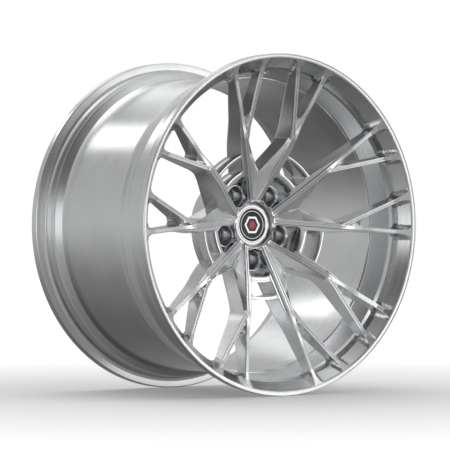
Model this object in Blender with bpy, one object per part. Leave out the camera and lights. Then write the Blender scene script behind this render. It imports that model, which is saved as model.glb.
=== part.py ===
"""Forged racing wheel rim, 20 x 11.5 inch, 5 x 112, with its clip-in centre cap.

The wheel's axis is Y. The face looks along -Y, +Z is up, and the origin is on the axis halfway
between the two flanges. Lengths in the constants are millimetres, and a depth is measured
backwards from the plane of the front lip.
"""
import math

import bmesh
import bpy

MM = 0.001

# Overall rim
WIDTH = 322.0
FLANGE_RADIUS = 271.3
FLANGE_WIDTH = 15.0
SEAT_RADIUS = 253.8
LEDGE_RADIUS = 252.0
WELL_RADIUS = 240.5
SEAM_DEPTH = 78.0
FIT_GAP = 0.3

# Spokes: ten Y spokes in five mirrored pairs
GROUPS = 5
FIRST_GROUP_ANGLE = 90.0
STEM_START = (48.0, 10.0)
BEND = (136.2, 46.9)
INNER_TIP = (262.0, 31.9)
OUTER_TIP = (251.0, 92.8)
RIDGE_HALF_WIDTH = 3.2
SHELF_HALF_WIDTH = 10.5
DRAFT = 0.06
FACE_DEPTHS = (
    (0.0, 80.0), (40.0, 78.0), (49.0, 75.0), (96.0, 56.5),
    (144.0, 39.0), (200.0, 24.0), (240.0, 12.5), (258.0, 5.5),
)
BACK_DEPTHS = ((79.0, 106.0), (110.0, 94.0), (144.0, 80.0), (200.0, 54.0), (238.0, 36.0), (246.0, 33.0))
SHELF_DROP = 5.0
VALLEY_START = 42.0
VALLEY_END = 86.0
VALLEY_DEPTHS = (80.5, 70.0)
VALLEY_MOUTH = (44.0, 5.0, 77.0)
VALLEY_SHOULDER_DEPTH = 43.0

# Bridges between the pairs
BRIDGE_INNER = 83.5
BRIDGE_OUTER = 120.0
SLOT_INNER = 92.0
SLOT_OUTER = 115.0
SLOT_HALF_ANGLE = 12.5

# Hub
PAD_RADIUS = 79.0
PAD_DEPTH = 147.0
HUB_RING_RADIUS = 45.0
HUB_BORE = 33.3
HUB_BORE_START = 122.0
CAP_BORE = 30.0
CAP_RECESS_RADIUS = 36.6
CAP_RECESS_DEPTH = 95.0
SNAP_GROOVE_RADIUS = 31.6
SNAP_GROOVE_DEPTHS = (101.0, 107.0)

# Lug holes
BOLT_CIRCLE = 56.0
SOCKET_RADIUS = 14.5
POCKET_DEPTH = 87.0
POCKET_RADIUS = 17.5
POCKET_WALL = 2.5
POCKET_HALF_ANGLE = 20.0
SEAT_TOP = 116.0
SEAT_SHOULDER = 130.0
STUD_RADIUS = 7.6
SEAT_BORE_RADIUS = 7.9

# Valve hole
VALVE_RADIUS = 5.65
VALVE_DEPTH = 49.5

# Centre cap
CAP_RADIUS = 36.0
CAP_DISC_RADIUS = 25.0
CAP_FACE_DEPTH = 87.0
FINGERS = 6

RING_SEGMENTS = 60
SMALL_SEGMENTS = 24
CAP_SEGMENTS = 48


def clear_scene():
    for item in list(bpy.data.objects):
        bpy.data.objects.remove(item, do_unlink=True)


def at(radius, angle, depth):
    """Point in metres at a radius, an angle in degrees from +X towards +Z, and a depth."""
    turn = math.radians(angle)
    return (
        radius * math.cos(turn) * MM,
        (depth - WIDTH / 2) * MM,
        radius * math.sin(turn) * MM,
    )


def in_group(point, angle, depth):
    """Point (along, across) of a pair's own frame, turned to the pair's angle."""
    along, across = point
    return at(math.hypot(along, across), angle + math.degrees(math.atan2(across, along)), depth)


def interpolate(table, radius):
    """Depth at a radius, along the straight lines between the table's points."""
    if radius <= table[0][0]:
        return table[0][1]
    for (r0, d0), (r1, d1) in zip(table, table[1:]):
        if radius <= r1:
            return d0 + (d1 - d0) * (radius - r0) / (r1 - r0)
    return table[-1][1]


def material(name, colour, roughness, metallic):
    made = bpy.data.materials.get(name)
    if made is None:
        made = bpy.data.materials.new(name)
        made.use_nodes = True
        shader = made.node_tree.nodes["Principled BSDF"]
        shader.inputs["Base Color"].default_value = (*colour, 1.0)
        shader.inputs["Roughness"].default_value = roughness
        shader.inputs["Metallic"].default_value = metallic
    return made


def aluminium():
    return material("brushed_aluminium", (0.80, 0.80, 0.81), 0.22, 1.0)


def steel():
    return material("plated_steel", (0.62, 0.62, 0.63), 0.28, 1.0)


def chrome():
    return material("chrome", (0.88, 0.88, 0.88), 0.10, 1.0)


def black_plastic():
    return material("black_plastic", (0.03, 0.03, 0.032), 0.45, 0.0)


def anthracite_lacquer():
    return material("anthracite_lacquer", (0.055, 0.06, 0.065), 0.25, 0.3)


def red_enamel():
    return material("red_enamel", (0.55, 0.02, 0.03), 0.25, 0.0)


def finish(mesh_builder, name, look=None):
    """Object from a bmesh: normals out, smooth with sharp edges kept; a cutter has no look."""
    bmesh.ops.recalc_face_normals(mesh_builder, faces=mesh_builder.faces)
    mesh = bpy.data.meshes.new(name)
    mesh_builder.to_mesh(mesh)
    mesh_builder.free()
    mesh.shade_smooth()
    mesh.set_sharp_from_angle(angle=math.radians(35))
    made = bpy.data.objects.new(name, mesh)
    bpy.context.collection.objects.link(made)
    if look is None:
        made.hide_render = True
        made.display_type = "WIRE"
    else:
        mesh.materials.append(look)
    return made


def turned(name, profile, look=None, segments=RING_SEGMENTS, centre=None):
    """Closed (radius, depth) profile spun a full turn about the wheel axis or a parallel axis."""
    builder = bmesh.new()
    corners = [builder.verts.new(at(radius, 0.0, depth)) for radius, depth in profile]
    edges = [builder.edges.new(pair) for pair in zip(corners, corners[1:] + corners[:1])]
    bmesh.ops.spin(
        builder,
        geom=corners + edges,
        cent=(0.0, 0.0, 0.0),
        axis=(0.0, 1.0, 0.0),
        angle=math.tau,
        steps=segments,
        use_merge=True,
    )
    bmesh.ops.remove_doubles(builder, verts=builder.verts, dist=1e-6)
    if centre is not None:
        radius, angle = centre
        shift = at(radius, angle, WIDTH / 2)
        bmesh.ops.translate(builder, verts=builder.verts, vec=shift)
    return finish(builder, name, look)


def plug(name, radius, front, back, centre, segments=SMALL_SEGMENTS, back_radius=None, look=None):
    """Straight or tapered round solid parallel to the wheel axis, between two depths."""
    builder = bmesh.new()
    rings = []
    for ring_radius, depth in ((radius, front), (back_radius or radius, back)):
        x0, y0, z0 = at(centre[0], centre[1], depth)
        ring = []
        for step in range(segments):
            turn = math.tau * step / segments
            point = (x0 + ring_radius * MM * math.cos(turn), y0, z0 + ring_radius * MM * math.sin(turn))
            ring.append(builder.verts.new(point))
        rings.append(ring)
    close_loft(builder, rings)
    return finish(builder, name, look)


def bored(name, steps, centre, segments=SMALL_SEGMENTS):
    """Stepped round cutter parallel to the wheel axis, from its (radius, depth) steps."""
    builder = bmesh.new()
    rings = []
    for radius, depth in steps:
        x0, y0, z0 = at(centre[0], centre[1], depth)
        ring = []
        for step in range(segments):
            turn = math.tau * (step + 0.37) / segments
            point = (x0 + radius * MM * math.cos(turn), y0, z0 + radius * MM * math.sin(turn))
            ring.append(builder.verts.new(point))
        rings.append(ring)
    close_loft(builder, rings)
    return finish(builder, name)


def close_loft(builder, rings):
    """Side walls between rings of equal length, and a cap on each end."""
    for first, second in zip(rings, rings[1:]):
        count = len(first)
        for i in range(count):
            j = (i + 1) % count
            builder.faces.new((first[i], first[j], second[j], second[i]))
    caps = [builder.faces.new(rings[0]), builder.faces.new(rings[-1])]
    bmesh.ops.triangulate(builder, faces=caps)


def rounded(corners, steps=4):
    """Closed outline through corners (x, y, radius), each replaced by an arc of that radius."""
    outline = []
    count = len(corners)
    for i, (x, y, radius) in enumerate(corners):
        before = corners[i - 1]
        after = corners[(i + 1) % count]
        if radius == 0:
            outline.append((x, y))
            continue
        ax, ay = before[0] - x, before[1] - y
        bx, by = after[0] - x, after[1] - y
        la, lb = math.hypot(ax, ay), math.hypot(bx, by)
        ax, ay, bx, by = ax / la, ay / la, bx / lb, by / lb
        half = math.acos(max(-1.0, min(1.0, ax * bx + ay * by))) / 2
        reach = min(radius / math.tan(half), 0.48 * la, 0.48 * lb)
        radius = reach * math.tan(half)
        mx, my = ax + bx, ay + by
        length = math.hypot(mx, my)
        far = radius / math.sin(half)
        cx, cy = x + mx / length * far, y + my / length * far
        start = math.atan2(y + ay * reach - cy, x + ax * reach - cx)
        end = math.atan2(y + by * reach - cy, x + bx * reach - cx)
        sweep = (end - start + math.pi) % math.tau - math.pi
        for step in range(steps + 1):
            turn = start + sweep * step / steps
            outline.append((cx + radius * math.cos(turn), cy + radius * math.sin(turn)))
    return outline


def side_point(path, index, side, depth, half_widths):
    """Point beside a path's corner: mitred, offset by the spoke's half width at this depth."""
    x, y = path[index]
    directions = []
    if index > 0:
        directions.append((x - path[index - 1][0], y - path[index - 1][1]))
    if index < len(path) - 1:
        directions.append((path[index + 1][0] - x, path[index + 1][1] - y))
    normals = []
    for dx, dy in directions:
        length = math.hypot(dx, dy)
        normals.append((-dy / length, dx / length))
    nx = sum(n[0] for n in normals)
    ny = sum(n[1] for n in normals)
    length = math.hypot(nx, ny)
    nx, ny = nx / length, ny / length
    mitre = 1 / (nx * normals[0][0] + ny * normals[0][1])
    half = half_widths[index] + DRAFT * (depth - interpolate(FACE_DEPTHS, math.hypot(x, y)))
    return (x + side * nx * half * mitre, y + side * ny * half * mitre)


def window(name, outlines, depths, angle, mirrored=False):
    """Cutter lofted between outlines at depths, in the pair's frame at the given angle."""
    builder = bmesh.new()
    flip = -1.0 if mirrored else 1.0
    rings = []
    for outline, depth in zip(outlines, depths):
        ring = [builder.verts.new(in_group((x, flip * y), angle, depth)) for x, y in outline]
        rings.append(ring)
    close_loft(builder, rings)
    return finish(builder, name)


def pair_window_outline(depth):
    """Long diamond window inside a pair, from the end of the valley to the lip."""
    path = [STEM_START, BEND, INNER_TIP]
    widths = [RIDGE_HALF_WIDTH] * 3
    bend = side_point(path, 1, -1, depth, widths)
    tip = side_point(path, 2, -1, depth, widths)
    end = VALLEY_END + DRAFT * (depth - VALLEY_DEPTHS[1])
    side = [(*bend, 10.0), (*tip, 0.0)]
    return rounded([(end, 0.0, 5.0)] + side + [(x, -y, r) for x, y, r in reversed(side)])


def valley(name, angle):
    """Air over the two facets that fall from a pair's ridges to its centre line."""
    start, middle = VALLEY_DEPTHS
    along, across, mouth = VALLEY_MOUTH
    shoulder = VALLEY_SHOULDER_DEPTH
    bend_along, bend_across = BEND[0] - 3.0, BEND[1] - RIDGE_HALF_WIDTH - 2.0
    corners = (
        (along, -across, mouth), (bend_along, -bend_across, shoulder), (VALLEY_END, 0.0, middle),
        (bend_along, bend_across, shoulder), (along, across, mouth), (VALLEY_START, 0.0, start),
    )
    builder = bmesh.new()
    floor = [builder.verts.new(in_group((x, y), angle, depth)) for x, y, depth in corners]
    top = [builder.verts.new(in_group((x, y), angle, 20.0)) for x, y, depth in corners]
    for i in range(6):
        j = (i + 1) % 6
        builder.faces.new((floor[i], floor[j], top[j], top[i]))
    for triple in ((0, 1, 2), (0, 2, 5), (5, 2, 4), (4, 2, 3)):
        builder.faces.new([floor[i] for i in triple])
        builder.faces.new([top[i] for i in triple])
    return finish(builder, name)


def fork_window_outline(depth):
    """Narrow window between the two limbs of one Y, from the fork to the lip."""
    inner = [STEM_START, BEND, INNER_TIP]
    outer = [STEM_START, BEND, OUTER_TIP]
    widths = [RIDGE_HALF_WIDTH] * 3
    tip_in = side_point(inner, 2, 1, depth, widths)
    tip_out = side_point(outer, 2, -1, depth, widths)
    root = fork_root(depth)
    return rounded([(*root, 4.5), (*tip_in, 0.0), (*tip_out, 0.0)])


def fork_root(depth):
    """Point where the facing sides of the two limbs would meet."""
    half = RIDGE_HALF_WIDTH + DRAFT * (depth - interpolate(FACE_DEPTHS, 176.0))
    lines = []
    for tip, side in ((INNER_TIP, 1), (OUTER_TIP, -1)):
        dx, dy = tip[0] - BEND[0], tip[1] - BEND[1]
        length = math.hypot(dx, dy)
        dx, dy = dx / length, dy / length
        lines.append((BEND[0] - side * dy * half, BEND[1] + side * dx * half, dx, dy))
    (x0, y0, dx0, dy0), (x1, y1, dx1, dy1) = lines
    cross = dx0 * dy1 - dy0 * dx1
    along = ((x1 - x0) * dy1 - (y1 - y0) * dx1) / cross
    return (x0 + dx0 * along, y0 + dy0 * along)


def lug_side_points(depth, stem_half, limb_half, radii):
    """Points at the given radii along the lug side of the stem and outer limb, in the lug frame."""
    points = []
    for radius in radii:
        share = min(1.0, max(0.0, (radius - 120.0) / (185.0 - 120.0)))
        half = stem_half + (limb_half - stem_half) * share
        half += DRAFT * (depth - interpolate(FACE_DEPTHS, radius))
        if radius < math.hypot(*BEND):
            (x0, y0), (x1, y1) = STEM_START, BEND
        else:
            (x0, y0), (x1, y1) = BEND, OUTER_TIP
        share = (radius - math.hypot(x0, y0)) / (math.hypot(x1, y1) - math.hypot(x0, y0))
        x, y = x0 + (x1 - x0) * share, y0 + (y1 - y0) * share
        offset = math.asin(half / radius)
        turn = math.atan2(y, x) + offset - math.radians(180.0 / GROUPS)
        points.append((radius * math.cos(turn), radius * math.sin(turn)))
    return points


def lug_window_outline(depth):
    """Wide window between two pairs, from the bridge to the lip."""
    radii = (BRIDGE_OUTER, 150.0, 185.0, 270.0)
    side = lug_side_points(depth, SHELF_HALF_WIDTH, RIDGE_HALF_WIDTH, radii)
    inner = [(*side[0], 7.0)] + [(x, y, 0.0) for x, y in side[1:]]
    mirrored_side = [(x, -y, r) for x, y, r in reversed(inner)]
    middle = [(BRIDGE_OUTER, 0.0, 0.0)]
    return rounded(inner + mirrored_side + middle)


def shelf_outline(depth):
    """Region between the ridges of two pairs, cut down to the shelf."""
    side = lug_side_points(depth, RIDGE_HALF_WIDTH, RIDGE_HALF_WIDTH, (52.0, 90.0, 144.0, 200.0))
    inner = [(x, y, 0.0) for x, y in side]
    mirrored_side = [(x, -y, r) for x, y, r in reversed(inner)]
    return rounded(inner + mirrored_side)


def slot_outline(depth):
    """Rounded slot through a bridge."""
    grow = -DRAFT * (depth - interpolate(FACE_DEPTHS, SLOT_OUTER))
    corners = []
    for radius, sign in ((SLOT_INNER, -1), (SLOT_INNER, 1), (SLOT_OUTER, 1), (SLOT_OUTER, -1)):
        reach = radius + (grow if radius == SLOT_OUTER else -grow)
        turn = math.radians(sign * SLOT_HALF_ANGLE)
        corners.append((reach * math.cos(turn), reach * math.sin(turn), 5.0))
        if sign == 1 and radius == SLOT_INNER:
            corners.insert(-1, (reach, 0.0, 0.0))
        if sign == 1 and radius == SLOT_OUTER:
            corners.append((reach, 0.0, 0.0))
    return rounded(corners)


def pocket_outline(depth):
    """Lug pocket between the bridge and the hub ring."""
    half_width = RIDGE_HALF_WIDTH + POCKET_WALL
    side = lug_side_points(depth, half_width, half_width, (60.0, 72.0, BRIDGE_INNER))
    half = math.radians(POCKET_HALF_ANGLE)
    start = (BOLT_CIRCLE - POCKET_RADIUS, -POCKET_RADIUS * math.tan(half))
    inner = [(*start, 6.0), (*side[0], 6.0), (*side[1], 0.0), (*side[2], 4.0)]
    mirrored_side = [(x, -y, r) for x, y, r in reversed(inner)]
    return rounded(inner + mirrored_side)


def cut(target, cutters, operation="DIFFERENCE", solver="EXACT"):
    for cutter in cutters:
        modifier = target.modifiers.new(cutter.name, "BOOLEAN")
        modifier.operation = operation
        modifier.solver = solver
        modifier.object = cutter


def rim_front_profile():
    """Front lip, bead seat, hump and the start of the drop, back to the seam."""
    outer = [
        (264.2, 1.6), (265.6, 0.0), (269.6, 0.0), (FLANGE_RADIUS, 1.8),
        (FLANGE_RADIUS, FLANGE_WIDTH - 1.5),
        (269.5, FLANGE_WIDTH), (259.5, FLANGE_WIDTH + 0.4), (255.5, FLANGE_WIDTH + 2.6),
        (SEAT_RADIUS, FLANGE_WIDTH + 6.5), (SEAT_RADIUS - 1.2, 38.0), (254.0, 40.5), (254.0, 42.5),
        (LEDGE_RADIUS, 45.5), (LEDGE_RADIUS, 68.0), (249.9, SEAM_DEPTH),
    ]
    inner = [(237.0, SEAM_DEPTH), (237.0, 75.0), (246.0, 51.0), (246.0, 31.0), (250.0, 20.5), (264.0, 4.0)]
    return outer + inner


def barrel_profile():
    """Drop, well, rear bead seat and rear flange, back from the seam."""
    start = SEAM_DEPTH + FIT_GAP
    rear = WIDTH - FLANGE_WIDTH
    outer = [
        (249.8, start), (241.6, 109.0), (WELL_RADIUS, 116.0), (WELL_RADIUS, 271.0), (242.5, 274.5),
        (251.0, 282.5), (254.0, 284.5), (254.0, 286.5), (SEAT_RADIUS - 1.0, 289.0), (SEAT_RADIUS, rear - 6.5),
        (255.5, rear - 2.6), (259.5, rear - 0.4), (269.5, rear), (FLANGE_RADIUS, rear + 1.5),
        (FLANGE_RADIUS, WIDTH - 2.0), (269.5, WIDTH), (261.5, WIDTH),
    ]
    inner = [
        (258.5, WIDTH - 2.5), (247.0, 305.0), (246.0, 285.0), (235.0, 272.0), (234.5, 120.0),
        (235.5, start),
    ]
    return outer + inner


def disc_profile():
    """Turned blank of the spoked centre, its bores included."""
    front = [(radius, depth) for radius, depth in FACE_DEPTHS if radius >= 49.0]
    hub_front = [(CAP_RECESS_RADIUS, 80.0), (HUB_RING_RADIUS - 3.0, 78.5)]
    tips = [(264.9, 2.6), (264.9, 4.0), (251.0, 20.4)]
    back = [(249.3, 24.5), (247.3, 31.0), (247.3, 33.5)]
    back += [(radius, depth) for radius, depth in reversed(BACK_DEPTHS) if radius < 240.0]
    pad = [(PAD_RADIUS, PAD_DEPTH - 1.5), (PAD_RADIUS - 1.5, PAD_DEPTH), (HUB_BORE + 1.5, PAD_DEPTH)]
    bore = [
        (HUB_BORE, PAD_DEPTH - 1.5), (HUB_BORE, HUB_BORE_START), (CAP_BORE, HUB_BORE_START),
        (CAP_BORE, SNAP_GROOVE_DEPTHS[1]), (SNAP_GROOVE_RADIUS, SNAP_GROOVE_DEPTHS[1] - 1.6),
        (SNAP_GROOVE_RADIUS, SNAP_GROOVE_DEPTHS[0] + 1.6), (CAP_BORE, SNAP_GROOVE_DEPTHS[0]),
        (CAP_BORE, CAP_RECESS_DEPTH), (CAP_RECESS_RADIUS, CAP_RECESS_DEPTH),
    ]
    return hub_front + front + tips + back + pad + bore


def forged_face():
    """Spoked centre and front half of the rim, in one forging."""
    disc = turned("spoke_disc_blank", disc_profile())
    air = turned(
        "shelf_air",
        [(30.0, 30.0), (30.0, 88.0)]
        + [(radius, interpolate(FACE_DEPTHS, radius) + SHELF_DROP) for radius in (49.0, 96.0, 144.0)]
        + [(178.0, interpolate(FACE_DEPTHS, 178.0) + 0.8), (206.0, 22.0), (206.0, 0.0)],
    )
    cutters = []
    for group in range(GROUPS):
        angle = FIRST_GROUP_ANGLE + group * 360.0 / GROUPS
        lug_angle = angle + 180.0 / GROUPS
        through = (-5.0, 160.0)
        name = f"pair_window_{group + 1}"
        cutters.append(window(name, [pair_window_outline(d) for d in through], through, angle))
        cutters.append(valley(f"valley_{group + 1}", angle))
        for label, mirrored in (("left", False), ("right", True)):
            name = f"fork_window_{group + 1}_{label}"
            outlines = [fork_window_outline(d) for d in through]
            cutters.append(window(name, outlines, through, angle, mirrored))
        name = f"lug_window_{group + 1}"
        cutters.append(window(name, [lug_window_outline(d) for d in through], through, lug_angle))
        name = f"slot_{group + 1}"
        depths = (30.0, 115.0)
        cutters.append(window(name, [slot_outline(d) for d in depths], depths, lug_angle))
        name = f"pocket_{group + 1}"
        depths = (30.0, POCKET_DEPTH)
        cutters.append(window(name, [pocket_outline(d) for d in depths], depths, lug_angle))
        socket = [
            (SOCKET_RADIUS, 60.0), (SOCKET_RADIUS, SEAT_SHOULDER), (STUD_RADIUS, SEAT_SHOULDER),
            (STUD_RADIUS, 160.0),
        ]
        cutters.append(bored(f"socket_{group + 1}", socket, (BOLT_CIRCLE, lug_angle)))
        depths = (0.0, 95.0)
        shelf = window(f"shelf_{group + 1}", [shelf_outline(d) for d in depths], depths, lug_angle)
        cut(shelf, [air], "INTERSECT")
        cutters.append(shelf)
    cut(disc, cutters, solver="MANIFOLD")
    face = turned("forged_face", rim_front_profile(), aluminium())
    cut(face, [disc], "UNION", "MANIFOLD")
    cut(face, [valve_cutter()], solver="MANIFOLD")
    return face


def valve_cutter():
    """Radial bore at the top of the front bead ledge."""
    builder = bmesh.new()
    rings = []
    for height in (225.0, 265.0):
        ring = []
        for step in range(24):
            turn = math.tau * step / 24
            depth = VALVE_DEPTH + VALVE_RADIUS * math.cos(turn)
            x = VALVE_RADIUS * math.sin(turn)
            ring.append(builder.verts.new((x * MM, (depth - WIDTH / 2) * MM, height * MM)))
        rings.append(ring)
    close_loft(builder, rings)
    return finish(builder, "valve_hole_cutter")


def inner_barrel():
    return turned("inner_barrel", barrel_profile(), aluminium())


def lug_seats():
    """Steel seat inserts at the foot of each socket, with a 60 degree cone for the bolt."""
    outer = SOCKET_RADIUS - FIT_GAP
    profile = [
        (outer - 1.2, SEAT_TOP), (outer, SEAT_TOP + 1.2), (outer, SEAT_SHOULDER - FIT_GAP),
        (SEAT_BORE_RADIUS, SEAT_SHOULDER - FIT_GAP), (SEAT_BORE_RADIUS, SEAT_TOP + 8.0),
        (outer - 3.2, SEAT_TOP),
    ]
    for index in range(GROUPS):
        angle = FIRST_GROUP_ANGLE + (index + 0.5) * 360.0 / GROUPS
        turned(f"lug_seat_{index + 1}", profile, steel(), SMALL_SEGMENTS, (BOLT_CIRCLE, angle))


def centre_cap():
    """Clip-in cap: plastic body with snap fingers, ring, disc, emblem and wire spring."""
    face = CAP_FACE_DEPTH
    body = turned(
        "cap_body",
        [
            (34.6, face + 3.3), (34.6, CAP_RECESS_DEPTH - FIT_GAP), (29.2, CAP_RECESS_DEPTH - FIT_GAP),
            (29.2, 101.6), (30.7, 103.6), (29.2, 108.5), (27.0, 108.5), (27.0, 99.0), (1.5, 99.0),
            (1.5, face + 3.3),
        ],
        black_plastic(),
        CAP_SEGMENTS,
    )
    slots = []
    for index in range(FINGERS):
        angle = (index + 0.5) * 360.0 / FINGERS
        slots.append(box_cutter(f"finger_gap_{index + 1}", 26.0, 33.0, 3.0, 99.6, 112.0, angle))
    cut(body, slots)
    turned(
        "cap_bezel",
        [
            (CAP_DISC_RADIUS + 0.5, face + 0.6), (27.5, face - 0.6), (31.5, face - 0.4), (32.0, face + 0.4),
            (34.8, face + 1.2), (CAP_RADIUS, face + 2.4), (CAP_RADIUS, face + 3.0),
            (CAP_DISC_RADIUS + 0.5, face + 3.0),
        ],
        chrome(),
        CAP_SEGMENTS,
    )
    disc_radius = CAP_DISC_RADIUS + 0.2
    lacquer = anthracite_lacquer()
    plug("cap_disc", disc_radius, face + 1.2, face + 3.0, (0.0, 0.0), CAP_SEGMENTS, None, lacquer)
    emblem = [(21.6, face + 0.5), (22.6, face + 0.5), (22.6, face + 0.9), (21.6, face + 0.9)]
    turned("emblem_ring", emblem, chrome(), CAP_SEGMENTS)
    hexagon_frame("emblem_hexagon", 15.5, 11.5, face + 0.3, face + 0.9, chrome())
    hexagon_plate("emblem_accent", 6.5, face + 0.4, face + 0.9, red_enamel())
    turned("cap_spring_ring", ring_profile(25.9, 104.5, 0.8), steel(), CAP_SEGMENTS)


def box_cutter(name, inner, outer, width, front, back, angle):
    builder = bmesh.new()
    rings = []
    for depth in (front, back):
        corners = ((inner, -width / 2), (outer, -width / 2), (outer, width / 2), (inner, width / 2))
        rings.append([builder.verts.new(in_group(corner, angle, depth)) for corner in corners])
    close_loft(builder, rings)
    return finish(builder, name)


def ring_profile(radius, depth, half):
    points = []
    for step in range(8):
        turn = math.tau * step / 8
        points.append((radius + half * math.cos(turn), depth + half * math.sin(turn)))
    return points


def hexagon(radius, depth):
    return [at(radius, 30.0 + 60.0 * side, depth) for side in range(6)]


def hexagon_plate(name, radius, front, back, look):
    builder = bmesh.new()
    rings = [[builder.verts.new(point) for point in hexagon(radius, depth)] for depth in (front, back)]
    close_loft(builder, rings)
    return finish(builder, name, look)


def hexagon_frame(name, outer, inner, front, back, look):
    """Hexagonal frame: four hexagons joined in a loop."""
    builder = bmesh.new()
    loops = []
    for radius, depth in ((outer, front), (outer, back), (inner, back), (inner, front)):
        loops.append([builder.verts.new(point) for point in hexagon(radius, depth)])
    for first, second in zip(loops, loops[1:] + loops[:1]):
        for i in range(6):
            j = (i + 1) % 6
            builder.faces.new((first[i], first[j], second[j], second[i]))
    return finish(builder, name, look)


clear_scene()
forged_face()
inner_barrel()
lug_seats()
centre_cap()
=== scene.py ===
import math

import bmesh
import bpy
import numpy as np
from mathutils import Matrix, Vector


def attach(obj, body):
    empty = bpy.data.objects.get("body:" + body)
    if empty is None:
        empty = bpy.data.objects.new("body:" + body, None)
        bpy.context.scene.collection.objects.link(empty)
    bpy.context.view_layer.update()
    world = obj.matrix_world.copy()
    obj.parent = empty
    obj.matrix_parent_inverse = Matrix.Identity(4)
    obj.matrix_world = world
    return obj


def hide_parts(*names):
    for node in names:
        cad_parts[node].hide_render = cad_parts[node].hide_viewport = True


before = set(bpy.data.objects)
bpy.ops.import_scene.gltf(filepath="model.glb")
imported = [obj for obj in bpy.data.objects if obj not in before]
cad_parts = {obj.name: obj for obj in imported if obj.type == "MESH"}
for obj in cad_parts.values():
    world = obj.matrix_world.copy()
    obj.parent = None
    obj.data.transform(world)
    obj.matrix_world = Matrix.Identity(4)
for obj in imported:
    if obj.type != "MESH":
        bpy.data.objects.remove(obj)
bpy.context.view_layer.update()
scene = bpy.context.scene
scene.view_settings.view_transform = "Standard"

# Lengths below are in mm: a radius is from the wheel's axis, a depth is from the front lip's plane.
halfWidth = 161.0  # depth of the middle of the rim, where y is 0
metres = 0.001
weldDistance = 2e-6  # metres
creaseAngle = 32.0  # degrees, above which an edge is drawn sharp
fullTurn = 2 * math.pi
wheel = {"count": 5, "pitch": 72, "firstPair": 90, "firstLug": 126}  # degrees from +X towards +Z


def spaced(first):
    return [math.radians(first + wheel["pitch"] * number) for number in range(wheel["count"])]


pairAngles, lugAngles = spaced(wheel["firstPair"]), spaced(wheel["firstLug"])


def place(radius, angle, depth):
    # Cylindrical to frame: x = radius cos(angle), z = radius sin(angle), y = depth - half width.
    radius, angle, depth = np.broadcast_arrays(radius, angle, depth)
    x, z = radius * np.cos(angle), radius * np.sin(angle)
    return np.stack([x, depth - halfWidth, z], -1) * metres


def turns(count):
    # Evenly spaced angles round a full turn, as a column.
    return np.linspace(0, fullTurn, count, endpoint=False)[:, None]


def tabled(table, x):
    # Straight-line value between the (x, value) rows of a table.
    xs, values = np.array(table, float).T
    return np.interp(x, xs, values)


def smooth(x, low, high):
    # Cubic step: t^2 (3 - 2t), with t rising from 0 at low to 1 at high.
    t = np.clip((x - low) / (high - low), 0, 1)
    return t * t * (3 - 2 * t)


def gridPart(points, wrapRows=False, wrapCols=False, capRows=False):
    # Grid of points (rows, columns, 3) to vertices and quads; capRows closes both end rows.
    rows, cols = points.shape[:2]
    index = np.arange(rows * cols).reshape(rows, cols)
    if wrapRows:
        index = np.vstack([index, index[:1]])
    if wrapCols:
        index = np.hstack([index, index[:, :1]])
    corners = [index[:-1, :-1], index[:-1, 1:], index[1:, 1:], index[1:, :-1]]
    quads = np.stack(corners, -1).reshape(-1, 4)
    vertices = points.reshape(-1, 3)
    if capRows:
        vertices = np.vstack([vertices, points[[0, -1]].mean(1)])
        for row, centre in ((0, rows * cols), (rows - 1, rows * cols + 1)):
            ring = index[row]
            middle = np.full(len(ring) - 1, centre)
            quads = np.vstack([quads, np.stack([ring[:-1], ring[1:], middle, middle], -1)])
    return vertices, quads


def buildPiece(name, parts, material, body, replaced):
    # Joins grid parts into one mesh, welds seams and poles, and turns every face outwards.
    vertices = np.vstack([part[0] for part in parts])
    offsets = np.cumsum([0] + [len(part[0]) for part in parts[:-1]])
    quads = np.vstack([part[1] + offset for part, offset in zip(parts, offsets)])
    mesh = bpy.data.meshes.new(name)
    mesh.vertices.add(len(vertices))
    mesh.vertices.foreach_set("co", vertices.astype(np.float32).ravel())
    triangle = quads[:, 2] == quads[:, 3]
    size = np.where(triangle, 3, 4)
    keep = np.ones(quads.shape, bool)
    keep[triangle, 3] = False
    mesh.loops.add(int(size.sum()))
    mesh.loops.foreach_set("vertex_index", quads[keep].astype(np.int32))
    mesh.polygons.add(len(quads))
    mesh.polygons.foreach_set("loop_start", (np.cumsum(size) - size).astype(np.int32))
    mesh.update(calc_edges=True)
    mesh.validate()
    work = bmesh.new()
    work.from_mesh(mesh)
    bmesh.ops.remove_doubles(work, verts=work.verts, dist=weldDistance)
    bmesh.ops.recalc_face_normals(work, faces=work.faces)
    work.to_mesh(mesh)
    work.free()
    mesh.shade_smooth()
    mesh.set_sharp_from_angle(angle=math.radians(creaseAngle))
    mesh.materials.append(material)
    piece = bpy.data.objects.new(name, mesh)
    scene.collection.objects.link(piece)
    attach(piece, body)
    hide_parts(*replaced)
    print(name, len(mesh.polygons), "faces")


def filleted(corners, steps=5):
    # Outline through corners (radius, depth, fillet), each corner replaced by a tangent arc.
    longest = 0.47  # share of a side that one fillet may take
    out = []
    for i, (radius, depth, fillet) in enumerate(corners):
        here = np.array([radius, depth])
        if fillet == 0:
            out.append(here[None])
            continue
        before = np.array(corners[i - 1][:2]) - here
        after = np.array(corners[(i + 1) % len(corners)][:2]) - here
        lengths = np.linalg.norm(before), np.linalg.norm(after)
        before, after = before / lengths[0], after / lengths[1]
        half = math.acos(max(-1, min(1, float(before @ after)))) / 2
        reach = min(fillet / math.tan(half), longest * lengths[0], longest * lengths[1])
        share = np.linspace(0, 1, steps)[:, None]
        start, end = here + before * reach, here + after * reach
        # Quadratic arc: weights (1-t)^2, 2t(1-t), t^2 on start, corner and end.
        arc = (1 - share) ** 2 * start + 2 * share * (1 - share) * here + share ** 2 * end
        out.append(arc)
    return np.vstack(out)


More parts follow.
